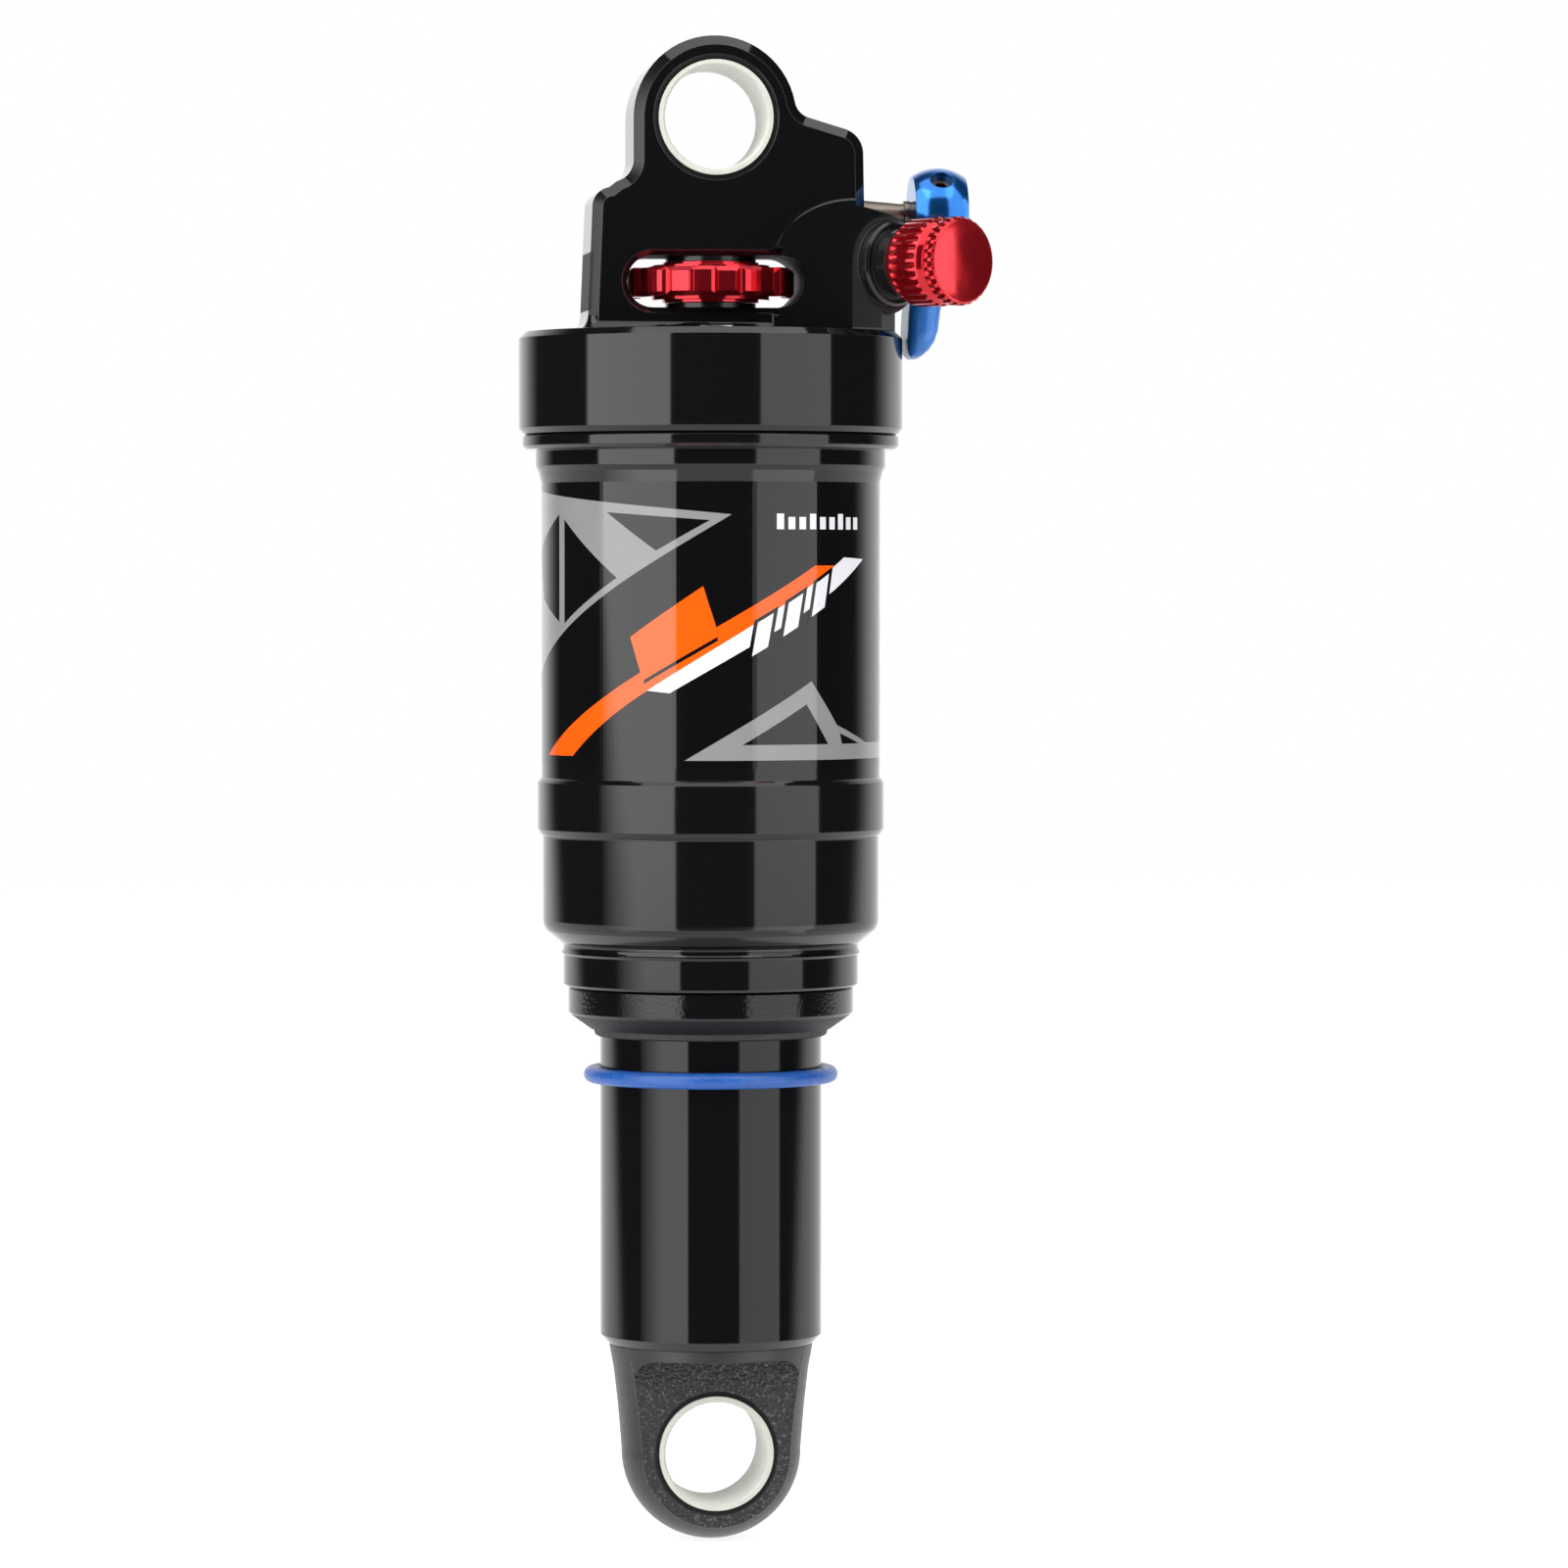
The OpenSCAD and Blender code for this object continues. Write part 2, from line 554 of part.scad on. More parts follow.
module air_piston() color([0.55, 0.56, 0.58]) rotate_extrude() polygon([[shaft_r + slip, air_piston_top],
    [18.5, air_piston_top], [can_bore_r - slip, -78.5], [can_bore_r - slip, -80], [16.9, -80],
    [16.9, -82.9], [can_bore_r - slip, -82.9], [can_bore_r - slip, -83.6], [17.9, -83.6], [17.9, -85.4],
    [can_bore_r - slip, -85.4], [can_bore_r - slip, air_piston_end], [body_bore_r - slip, air_piston_end],
    [body_bore_r - slip, -91], [6, -91], [6, -87], [shaft_r + slip, -87], [shaft_r + slip, -84.4],
    [6.6, -84.4], [6.6, -82.6], [shaft_r + slip, -82.6]]);

module shaft_seal() color(rubber) oring(shaft_r + run, 6.58, -83.5);

module shaft_bushing() color([0.45, 0.3, 0.2]) ring(shaft_r + run, 5.98, -90.9, -87.05);

module damper_body() color(anodised_black) rotate_extrude() polygon([[body_bore_r, air_piston_end - 0.02],
    [body_r, air_piston_end - 0.02], [body_r, -150.6], [12.75, tube_end], [body_bore_r, tube_end]]);

// Front outline of the pocket that is milled for each flat of the lower eye
function pocket_outline() = let (corner_x = 7.7, corner_z = lower_z + 9.3, corner_r = 2.5)
    concat([[-16, lower_z - 14], [16, lower_z - 14], [16, lower_z + 2], [10.4, lower_z + 7]],
        arc([corner_x, corner_z], corner_r, 0, 90, coarse),
        arc([-corner_x, corner_z], corner_r, 90, 180, coarse), [[-10.4, lower_z + 7], [-16, lower_z + 2]]);

module eye_pocket() {
    rotate([90, 0, 0]) translate([0, 0, eye_thick / 2]) linear_extrude(20) polygon(pocket_outline());
}

module lower_eyelet() color([0.1, 0.1, 0.105]) difference() {
    union() {
        translate([0, 0, lower_z]) sphere(lower_eye_r);
        rotate_extrude() polygon([[0, -148.2], [11.4, -148.2], [body_bore_r - slip, -148.7],
            [body_bore_r - slip, -149.2], [10.6, -149.2], [10.6, -150.9], [body_bore_r - slip, -150.9],
            [body_bore_r - slip, tube_end - 0.02], [12.7, tube_end - 0.02],
            [12.1, -155], [11.6, -159.4], [11.35, -162.3], [lower_eye_r - 0.02, lower_z],
            [0, lower_z]]);
    }
    eye_pocket();
    mirror([0, 1, 0]) eye_pocket();
    along_y(lower_z) eye_bore();
    translate([0, 0, -160]) cylinder(r = 1.3, h = 8);
    translate([0, 0, -153]) cylinder(r = 0.6, h = 6, $fn = 24);
}

module eyelet_oring() color(rubber) oring(10.62, body_bore_r - 0.02, -150.05);

module charge_screw() color(steel) difference() {
    translate([0, 0, -157.2]) cylinder(r = 1.28, h = 4);
    translate([0, 0, -158]) cylinder(r = 0.85, h = 2.6, $fn = 6);
}

module lower_bushing() color(ivory) along_y(lower_z) bushing();

module floating_piston() color([0.6, 0.6, 0.62]) translate([0, 0, ifp_top]) rotate_extrude()
    polygon([[0, -1.5], [7, -1.5], [8, 0], [body_bore_r - 0.3, 0], [body_bore_r - slip, -0.3],
        [body_bore_r - slip, -2.2], [10.6, -2.2], [10.6, -3.9], [body_bore_r - slip, -3.9],
        [body_bore_r - slip, -6], [0, -6]]);

module ifp_oring() color(rubber) oring(10.62, body_bore_r - run, ifp_top - 3.05);

module travel_ring() color(anodised_blue) oring(body_r + run, body_r + run + 2, -118.3);

head();
upper_bushing();
air_can();
can_oring();
seal_head();
seal_head_oring();
body_seal();
wiper_seal();
top_out_bumper();
bottom_out_bumper();
damper_shaft();
damper_piston();
piston_band();
compression_shims();
rebound_shims();
piston_nut();
valve_body();
valve_gasket();
valve_core();
valve_pin();
cap_washer();
valve_cap();
spindle_bush();
lockout_spindle();
spindle_oring();
lockout_lever();
lever_screw();
lockout_rod();
dial_washers();
detent_spring();
detent_ball();
rebound_dial();
rebound_tube();
air_seal();
glide_ring();
air_piston();
shaft_seal();
shaft_bushing();
damper_body();
lower_eyelet();
eyelet_oring();
charge_screw();
lower_bushing();
floating_piston();
ifp_oring();
travel_ring();
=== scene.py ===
"""Looks of the rear shock: black anodised body, red dial and cap, blue lever and travel ring.

Lengths are in metres, apart from those that a comment gives in millimetres.
"""
import json
import math

import bmesh
import bpy
import numpy as np
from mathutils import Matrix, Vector


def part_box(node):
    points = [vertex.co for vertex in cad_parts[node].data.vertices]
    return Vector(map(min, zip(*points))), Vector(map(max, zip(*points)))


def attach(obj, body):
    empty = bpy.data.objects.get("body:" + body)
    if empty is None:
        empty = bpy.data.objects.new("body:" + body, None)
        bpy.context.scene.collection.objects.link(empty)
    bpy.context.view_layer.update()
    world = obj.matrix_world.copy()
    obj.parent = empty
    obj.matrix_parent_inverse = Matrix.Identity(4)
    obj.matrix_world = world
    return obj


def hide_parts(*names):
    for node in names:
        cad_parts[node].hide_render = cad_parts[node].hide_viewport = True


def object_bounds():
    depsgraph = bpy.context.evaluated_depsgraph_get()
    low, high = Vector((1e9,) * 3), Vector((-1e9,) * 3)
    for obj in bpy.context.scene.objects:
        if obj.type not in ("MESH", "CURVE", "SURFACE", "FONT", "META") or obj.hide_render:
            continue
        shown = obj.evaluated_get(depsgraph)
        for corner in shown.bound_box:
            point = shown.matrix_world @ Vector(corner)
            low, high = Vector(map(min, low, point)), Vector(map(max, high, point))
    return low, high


MM = 0.001
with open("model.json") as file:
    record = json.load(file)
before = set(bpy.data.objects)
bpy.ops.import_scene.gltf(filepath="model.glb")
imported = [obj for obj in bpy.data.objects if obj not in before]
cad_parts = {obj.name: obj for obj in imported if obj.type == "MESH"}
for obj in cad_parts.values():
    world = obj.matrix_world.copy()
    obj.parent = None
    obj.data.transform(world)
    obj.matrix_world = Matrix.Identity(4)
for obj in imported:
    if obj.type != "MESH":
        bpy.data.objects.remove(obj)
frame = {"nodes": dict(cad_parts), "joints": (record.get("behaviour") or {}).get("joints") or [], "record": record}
cad_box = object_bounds()
nodes = frame["nodes"]


# ---------------------------------------------------------------- camera and light

VIEW_AZIMUTH = math.radians(-6.5)
CAMERA_DISTANCE = 0.9
FRAME_WIDTH = 0.19472         # what the picture spans at the shock's axis
SENSOR = 36.0                 # millimetres
CAMERA_HEIGHT = -0.057
AIM_RIGHT = 0.0091            # the shock stands left of the middle of the picture
AIM_HEIGHT = -0.0823


def around(azimuth, distance, height=0.0):
    """Point on a circle round the shock; azimuth 0 is in front of it, and positive is to the right."""
    return Vector((math.sin(azimuth) * distance, -math.cos(azimuth) * distance, height))


def aim(obj, target):
    obj.rotation_euler = (Vector(target) - obj.location).to_track_quat("-Z", "Y").to_euler()


def make_camera():
    data = bpy.data.cameras.new("camera")
    data.sensor_width = SENSOR
    data.lens = SENSOR * CAMERA_DISTANCE / FRAME_WIDTH
    data.clip_start = 0.01
    camera = bpy.data.objects.new("camera", data)
    bpy.context.scene.collection.objects.link(camera)
    camera.location = around(VIEW_AZIMUTH, CAMERA_DISTANCE, CAMERA_HEIGHT)
    right = Vector((math.cos(VIEW_AZIMUTH), math.sin(VIEW_AZIMUTH), 0))
    aim(camera, right * AIM_RIGHT + Vector((0, 0, AIM_HEIGHT)))
    bpy.context.scene.camera = camera


def feed(tree, socket, value):
    """Gives a node's input a number or another node's output."""
    if isinstance(value, bpy.types.NodeSocket):
        tree.links.new(value, socket)
    else:
        socket.default_value = value


def map_range(tree, value, low, high, start, end):
    """Output of a Map Range node that takes start..end to low..high."""
    made = tree.nodes.new("ShaderNodeMapRange")
    for name, given in (("Value", value), ("From Min", start), ("From Max", end),
                        ("To Min", low), ("To Max", high)):
        feed(tree, made.inputs[name], given)
    return made.outputs["Result"]


def calculate(tree, operation, *values):
    """Output of a Math node on sockets and numbers."""
    made = tree.nodes.new("ShaderNodeMath")
    made.operation = operation
    for socket, value in zip(made.inputs, values):
        feed(tree, socket, value)
    return made.outputs[0]


def softbox(name, start, end, height, size_z, radiance, distance=0.8):
    """Upright light panel that spans two directions, in degrees to the right of the camera."""
    middle = math.radians((start + end) / 2)
    width = 2 * distance * math.tan(math.radians(end - start) / 2)
    data = bpy.data.lights.new(name, "AREA")
    data.shape = "RECTANGLE"
    data.size = width
    data.size_y = size_z
    data.energy = radiance * math.pi * width * size_z
    lamp = bpy.data.objects.new(name, data)
    bpy.context.scene.collection.objects.link(lamp)
    lamp.location = around(VIEW_AZIMUTH + middle, distance, height)
    aim(lamp, (0, 0, height))
    return lamp


def shade_panel(lamp, fade_corner=False):
    """Dims a panel's foot, and can fade its outer edge as well, more so towards the foot."""
    lamp.data.use_nodes = True
    tree = lamp.data.node_tree
    place = tree.nodes.new("ShaderNodeSeparateXYZ")
    tree.links.new(tree.nodes.new("ShaderNodeNewGeometry").outputs["Parametric"], place.inputs[0])
    across, up = place.outputs["X"], place.outputs["Y"]
    foot_strength = 0.73
    strength = map_range(tree, up, foot_strength, 1.0, 0.271, 0.293)
    if fade_corner:
        faded_at_foot, faded_above = 0.5, 0.04        # parts of the panel's width
        reach = map_range(tree, up, faded_at_foot, faded_above, 0.286, 0.325)
        fade = map_range(tree, across, 0.0, 1.0, 0.0, reach)
        strength = calculate(tree, "MULTIPLY", strength, fade)
    tree.links.new(strength, tree.nodes["Emission"].inputs["Strength"])


def light_only(lamp, names):
    """Keeps a lamp to a few CAD nodes."""
    group = bpy.data.collections.new(lamp.name + "_nodes")
    for name in names:
        group.objects.link(bpy.data.objects[name])
    lamp.light_linking.receiver_collection = group


def make_lights():
    """Two upright softboxes for the stripes on the black, one above, and a narrow one for the colours."""
    left = softbox("left_softbox", start=-79, end=-23.6, height=0.3, size_z=2.0, radiance=2.9)
    shade_panel(left, fade_corner=True)
    right = softbox("right_softbox", start=29.6, end=75.6, height=0.3, size_z=2.0, radiance=1.8)
    shade_panel(right)
    top = softbox("top_softbox", start=-31, end=31, height=0.0, size_z=0.95, radiance=1.9)
    top.location = Vector((0.0, -0.24, 0.7))
    aim(top, (0, 0, -0.03))
    narrow = softbox("colour_softbox", start=75.6, end=85.6, height=-0.05, size_z=0.9, radiance=2.6)
    light_only(narrow, ("knurled_cap", "rebound_dial", "lockout_lever"))


def make_world():
    """White all round behind the shock and dark in front, but plain white wherever the camera looks."""
    world = bpy.data.worlds.new("studio")
    world.use_nodes = True
    tree = world.node_tree
    tree.nodes.clear()
    direction = tree.nodes.new("ShaderNodeTexCoord").outputs["Generated"]
    facing = tree.nodes.new("ShaderNodeVectorMath")
    facing.operation = "DOT_PRODUCT"
    dark_middle = VIEW_AZIMUTH - math.radians(6)
    facing.inputs[1].default_value = around(dark_middle, 1.0)
    tree.links.new(direction, facing.inputs[0])
    split = tree.nodes.new("ShaderNodeSeparateXYZ")
    tree.links.new(direction, split.inputs[0])
    below = map_range(tree, split.outputs["Z"], -5.8, 0.0, -1.0, -0.03)   # lower down, white in front too
    front = calculate(tree, "ADD", facing.outputs["Value"], below)
    white, dark = 1.15, 0.03
    strength = map_range(tree, front, white, dark, -0.85, -0.48)
    strength.node.interpolation_type = "SMOOTHSTEP"
    studio = tree.nodes.new("ShaderNodeBackground")
    tree.links.new(strength, studio.inputs["Strength"])
    backdrop = tree.nodes.new("ShaderNodeBackground")
    for background in (studio, backdrop):
        background.inputs["Color"].default_value = (1, 1, 1, 1)
    rays = tree.nodes.new("ShaderNodeLightPath")
    choose = tree.nodes.new("ShaderNodeMixShader")
    tree.links.new(rays.outputs["Is Camera Ray"], choose.inputs["Fac"])
    tree.links.new(studio.outputs[0], choose.inputs[1])
    tree.links.new(backdrop.outputs[0], choose.inputs[2])
    output = tree.nodes.new("ShaderNodeOutputWorld")
    tree.links.new(choose.outputs[0], output.inputs["Surface"])
    bpy.context.scene.world = world


def make_floor(level):
    """White sweep under the shock, lit by its own glow as well."""
    radius = 3.0
    glow = 0.86
    mesh = bmesh.new()
    bmesh.ops.create_circle(mesh, cap_ends=True, radius=radius, segments=96)
    bmesh.ops.translate(mesh, verts=mesh.verts, vec=(0, 0, level))
    floor = new_object("floor", mesh)
    finish = bpy.data.materials.new("floor")
    finish.use_nodes = True
    shader = finish.node_tree.nodes["Principled BSDF"]
    shader.inputs["Base Color"].default_value = (0.35, 0.35, 0.35, 1)
    shader.inputs["Roughness"].default_value = 0.8
    shader.inputs["Emission Color"].default_value = (1, 1, 1, 1)
    shader.inputs["Emission Strength"].default_value = glow
    floor.data.materials.append(finish)
    floor.visible_glossy = False      # the gloss black keeps the dark gap between the two softboxes


# ---------------------------------------------------------------- meshes

def new_object(name, mesh, smooth=False):
    """A scene object from a bmesh, which is freed."""
    data = bpy.data.meshes.new(name)
    mesh.to_mesh(data)
    mesh.free()
    for face in data.polygons:
        face.use_smooth = smooth
    obj = bpy.data.objects.new(name, data)
    bpy.context.scene.collection.objects.link(obj)
    return obj


def curve(start, control, end, steps=10):
    """Points along a quadratic curve, without its last one."""
    points = []
    for i in range(steps):
        k = i / steps
        points.append(tuple((1 - k) ** 2 * a + 2 * k * (1 - k) * b + k * k * c
                            for a, b, c in zip(start, control, end)))
    return points


# ---------------------------------------------------------------- valve cap

CAP_RIDGES = 30
CAP_RADIUS = 5.42             # over the ridges, in millimetres like the cap's other sizes
RIDGE_DEPTH = 0.42


def cap_rings():
    """Rings of the cap from its bore out: place along its axis, radius, and how full the ridges are."""
    bore, body = 3.95, 5.2
    rings = [(12.45, 0.0, 0), (12.45, bore, 0), (4.2, bore, 0), (4.2, 4.5, 0), (4.3, 4.62, 0),
             (5.4, 5.12, 0), (5.6, body, 0), (5.75, body, 0.6), (5.95, body, 1), (9.65, body, 1),
             (9.85, body, 0.6), (10.0, body, 0), (10.12, 5.15, 0), (10.7, 4.62, 0), (10.8, 4.62, 0),
             (11.38, 5.15, 0), (11.5, body, 0), (11.6, body, 0.6), (11.75, body, 1), (12.85, body, 1),
             (12.98, body, 0.6), (13.08, body, 0), (13.2, 5.14, 0), (13.27, 5.02, 0)]
    dome, rim = 0.13, 4.95
    return rings + [(13.4 - dome * (k / 6) ** 2, rim * k / 6, 0) for k in range(6, -1, -1)]


def make_cap(finish):
    """Knurled cap of the air valve, with a V groove between two bands of ridges and a crowned end."""
    turn = next(joint for joint in frame["joints"] if joint["name"] == "cap_turn")
    axis = Vector(turn["axis"]).normalized()
    origin = Vector(turn["pos_m"])
    up = Vector((0, 0, 1))
    side = axis.cross(up)
    points_per_ridge = 12
    steps = CAP_RIDGES * points_per_ridge
    mesh = bmesh.new()
    rows = []
    for along, radius, ridge in cap_rings():
        row = []
        for i in range(steps if radius else 1):
            angle = math.tau * i / steps
            crest = min(1, max(0, 0.45 + 1.5 * math.cos(CAP_RIDGES * angle)))     # clipped flat
            ridged = CAP_RADIUS - RIDGE_DEPTH * (1 - crest)
            reach = radius + (ridged - radius) * ridge
            spoke = (side * math.cos(angle) + up * math.sin(angle)) * reach
            row.append(mesh.verts.new(origin + (axis * along + spoke) * MM))
        rows.append(row)
    for low, high in zip(rows, rows[1:]):
        for i in range(steps):
            j = (i + 1) % steps
            if len(low) == 1:
                mesh.faces.new((low[0], high[i], high[j]))
            elif len(high) == 1:
                mesh.faces.new((low[i], low[j], high[0]))
            else:
                mesh.faces.new((low[i], low[j], high[j], high[i]))
    bmesh.ops.recalc_face_normals(mesh, faces=mesh.faces[:])
    cap = new_object("knurled_cap", mesh, smooth=True)
    cap.data.set_sharp_from_angle(angle=math.radians(40))
    cap.data.materials.append(finish)
    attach(cap, "valve_cap")
    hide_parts("valve_cap")
    return cap


# ---------------------------------------------------------------- print on the air can
# Places are pairs: degrees round the can from -Y towards +X, and the height in millimetres.
# All sizes here are in millimetres too.

CAN_RADIUS = 21.0
MM_PER_DEGREE = math.radians(CAN_RADIUS)
LABEL_TOP = -44.9
LABEL_END = -79.9
PRINT_RISE = 0.5              # how far up the pattern is moved from the heights written for it
LABEL_LIFT = 0.022            # how far the label film stands out from the can
LAYER_STEP = 0.006            # and each layer of ink from the one under it


def printed(name, outlines, finish, layer):
    """Thin coloured film that wraps round the can; any outline inside another is a hole."""
    mesh = bmesh.new()
    for outline in outlines:
        corners = [mesh.verts.new((degrees * MM_PER_DEGREE, height, 0)) for degrees, height in outline]
        for i, corner in enumerate(corners):
            mesh.edges.new((corners[i - 1], corner))
    bmesh.ops.triangle_fill(mesh, use_beauty=True, edges=mesh.edges[:])
    strips = 120                  # to each half turn
    for i in range(-strips, strips + 1):
        bmesh.ops.bisect_plane(mesh, geom=mesh.verts[:] + mesh.edges[:] + mesh.faces[:],
                               plane_co=(i * 180 / strips * MM_PER_DEGREE, 0, 0), plane_no=(1, 0, 0))
    bmesh.ops.recalc_face_normals(mesh, faces=mesh.faces[:])
    if mesh.faces[0].normal.z < 0:
        bmesh.ops.reverse_faces(mesh, faces=mesh.faces[:])
    lift, sunk = LABEL_LIFT + LAYER_STEP * layer, 0.02
    shell = bmesh.ops.extrude_face_region(mesh, geom=mesh.faces[:])["geom"]
    top = {part for part in shell if isinstance(part, bmesh.types.BMVert)}
    for vert in mesh.verts:
        angle = vert.co.x / CAN_RADIUS
        radius = CAN_RADIUS + (lift if vert in top else -sunk)
        height = vert.co.y + PRINT_RISE
        vert.co = (MM * radius * math.sin(angle), -MM * radius * math.cos(angle), MM * height)
    bmesh.ops.recalc_face_normals(mesh, faces=mesh.faces[:])
    piece = new_object(name, mesh)
    piece.data.materials.append(finish)
    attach(piece, "head_and_can")
    return piece


def slanted_box(left, base, width, height, lean, border=0.0):
    """Leaning box on the can, left and width in degrees; the rise along it follows the stripes."""
    rise = 0.21
    edge = border / MM_PER_DEGREE
    low, high = base + border, base + height - border
    start, end = left + edge, left + width - edge
    return [(start + lean * (low - base), low + rise * (start - left)),
            (end + lean * (low - base), low + rise * (end - left)),
            (end + lean * (high - base), high + rise * (end - left)),
            (start + lean * (high - base), high + rise * (start - left))]


def circle_on_can(degrees, height, radius, points=60):
    """Round outline on the can, with its radius in millimetres."""
    return [(degrees + radius * math.cos(math.tau * i / points) / MM_PER_DEGREE,
             height + radius * math.sin(math.tau * i / points)) for i in range(points)]


def make_prints():
    """The label film and the pattern on it: facets, stripes, a flag, bars, dashes and a ring."""
    grey = print_ink("print_grey", (0.26, 0.26, 0.265))
    orange = print_ink("print_orange", (0.95, 0.11, 0.004))
    white = print_ink("print_white", (0.8, 0.8, 0.83))
    black = print_ink("print_black", (0.0035, 0.0035, 0.004))
    low, high = LABEL_END - PRINT_RISE, LABEL_TOP - PRINT_RISE
    printed("label_film", [[(-179.9, low), (179.9, low), (179.9, high), (-179.9, high)]], black, 0)
    printed("upper_facets", [
        [(-116, -45.5), (0.5, -49.5), (-97, -70.7)],
        [(-43.5, -49.2), (-6.7, -50.2), (-24.9, -53.9)],
        [(-65, -50), (-39.5, -57.2), (-65, -62.8)],
        [(-68.5, -49.4), (-68.5, -62.6), (-84, -59.8), (-90, -54)],
    ], grey, 2)
    printed("lower_facets", [
        [(-15.2, -79.4), (29.2, -69.8), (40.7, -75.2), (58, -77.4), (112, -77.6), (108, -79.4)],
        [(4.1, -77.5), (27.2, -72.6), (36.5, -77.5)],
        [(42.2, -76.2), (53.2, -77.5), (43.2, -77.5)],
    ], grey, 2)
    upper_edge = curve((-30.5, -68.7), (-60, -75), (-78, -79))
    lower_edge = curve((-60, -79), (-44, -74.4), (-28, -70.9))
    printed("orange_swoosh", [[(39.3, -55.7), (30.8, -55.7)] + upper_edge + [(-78, -79)] + lower_edge
                              + [(-28, -70.9), (36, -57.5)]], orange, 3)
    printed("orange_flag", [[(-34.2, -64.4), (-9, -58.2), (-4.4, -63.5), (-29.8, -69.4)]], orange, 4)
    printed("white_stripe", [[(-28, -70.9), (-20.2, -71.2), (39.3, -58.7), (56, -54.9), (44.3, -54.7)]],
            white, 4)
    printed("flag_line", [slanted_box(-29.2, -70.1, 25, 0.5, 0)], black, 5)
    width = 8.5
    for i, (left, base) in enumerate([(5.5, -67.6), (16.5, -65.2), (27.5, -62.8)]):
        printed(f"bar_back_{i}", [slanted_box(left, base, width, 5.2, 0.5)], black, 5)
        printed(f"bar_{i}", [slanted_box(left, base, width, 5.2, 0.5, 0.55)], white, 6)
    foot = -51.3
    for i in range(9):
        left = 16 + 4.2 * i
        right = left + 2.6
        top = foot + (1.5 if i % 3 else 1.9)
        printed(f"dash_{i}", [[(left, foot), (right, foot), (right, top), (left, top)]], white, 2)
    printed("side_ring", [circle_on_can(96, -67.5, 7), circle_on_can(96, -67.5, 6.4)], white, 2)


# ---------------------------------------------------------------- materials

class Surface:
    """A Principled material with helpers for the procedural detail on it."""

    def __init__(self, name, color, roughness, **sockets):
        self.material = bpy.data.materials.new(name)
        self.material.use_nodes = True
        self.tree = self.material.node_tree
        self.shader = self.tree.nodes["Principled BSDF"]
        self.color = color
        self.shader.inputs["Base Color"].default_value = (*color, 1)
        self.shader.inputs["Roughness"].default_value = roughness
        for socket, value in sockets.items():
            self.shader.inputs[socket.replace("_", " ")].default_value = value
        self.coords = self.node("ShaderNodeTexCoord").outputs["Object"]
        self.place = self.node("ShaderNodeSeparateXYZ")
        self.link(self.coords, self.place.inputs[0])
        self.normal = None

    def node(self, kind, **settings):
        made = self.tree.nodes.new(kind)
        for setting, value in settings.items():
            setattr(made, setting, value)
        return made

    def link(self, source, target):
        self.tree.links.new(source, target)

    def along(self, axis):
        """One of the object coordinates, in metres."""
        return self.place.outputs[axis]

    def math(self, operation, *values):
        """Result of a Math node on sockets and numbers."""
        return calculate(self.tree, operation, *values)

    def noise(self, per_mm, detail, stretch=(1, 1, 1)):
        """Noise with about per_mm bumps to the millimetre, times the stretch along each axis."""
        mapping = self.node("ShaderNodeMapping")
        mapping.inputs["Scale"].default_value = stretch
        self.link(self.coords, mapping.inputs["Vector"])
        texture = self.node("ShaderNodeTexNoise")
        texture.inputs["Scale"].default_value = per_mm / MM
        texture.inputs["Detail"].default_value = detail
        self.link(mapping.outputs["Vector"], texture.inputs["Vector"])
        return texture.outputs["Fac"]

    def spread(self, value, low, high, start=0.3, end=0.7):
        """Value remapped from start..end, by default where most of a noise lies, to low..high."""
        return map_range(self.tree, value, low, high, start, end)

    def vary_color(self, value, other):
        """Base colour mixed with another one by a value from 0 to 1."""
        mix = self.node("ShaderNodeMix", data_type="RGBA")
        source = self.shader.inputs["Base Color"]
        if source.is_linked:
            self.link(source.links[0].from_socket, mix.inputs["A"])
        else:
            mix.inputs["A"].default_value = (*self.color, 1)
        mix.inputs["B"].default_value = (*other, 1)
        self.link(value, mix.inputs["Factor"])
        self.link(mix.outputs["Result"], source)

    def vary_roughness(self, value):
        self.link(value, self.shader.inputs["Roughness"])

    def rounded(self, radius_mm):
        """Softens every sharp edge in shading."""
        bevel = self.node("ShaderNodeBevel", samples=6)
        bevel.inputs["Radius"].default_value = radius_mm * MM
        self.normal = bevel.outputs["Normal"]
        self.link(self.normal, self.shader.inputs["Normal"])

    def lean_normal(self, amount):
        """Shades the surface as if it were flatter, by a pull on its normals along Y."""
        pull = self.node("ShaderNodeCombineXYZ")
        self.link(amount, pull.inputs["Y"])
        leant = self.node("ShaderNodeVectorMath", operation="ADD")
        self.link(self.normal, leant.inputs[0])
        self.link(pull.outputs[0], leant.inputs[1])
        unit = self.node("ShaderNodeVectorMath", operation="NORMALIZE")
        self.link(leant.outputs[0], unit.inputs[0])
        self.normal = unit.outputs[0]
        self.link(self.normal, self.shader.inputs["Normal"])

    def bump(self, height, depth_mm, strength):
        """Relief from a value, on top of what the normals already have."""
        relief = self.node("ShaderNodeBump")
        relief.inputs["Distance"].default_value = depth_mm * MM
        relief.inputs["Strength"].default_value = strength
        self.link(height, relief.inputs["Height"])
        if self.normal:
            self.link(self.normal, relief.inputs["Normal"])
        self.normal = relief.outputs["Normal"]
        self.link(self.normal, self.shader.inputs["Normal"])


def dress(node, finish):
    """Puts one material on a CAD node."""
    data = nodes[node].data
    data.materials.clear()
    data.materials.append(finish)


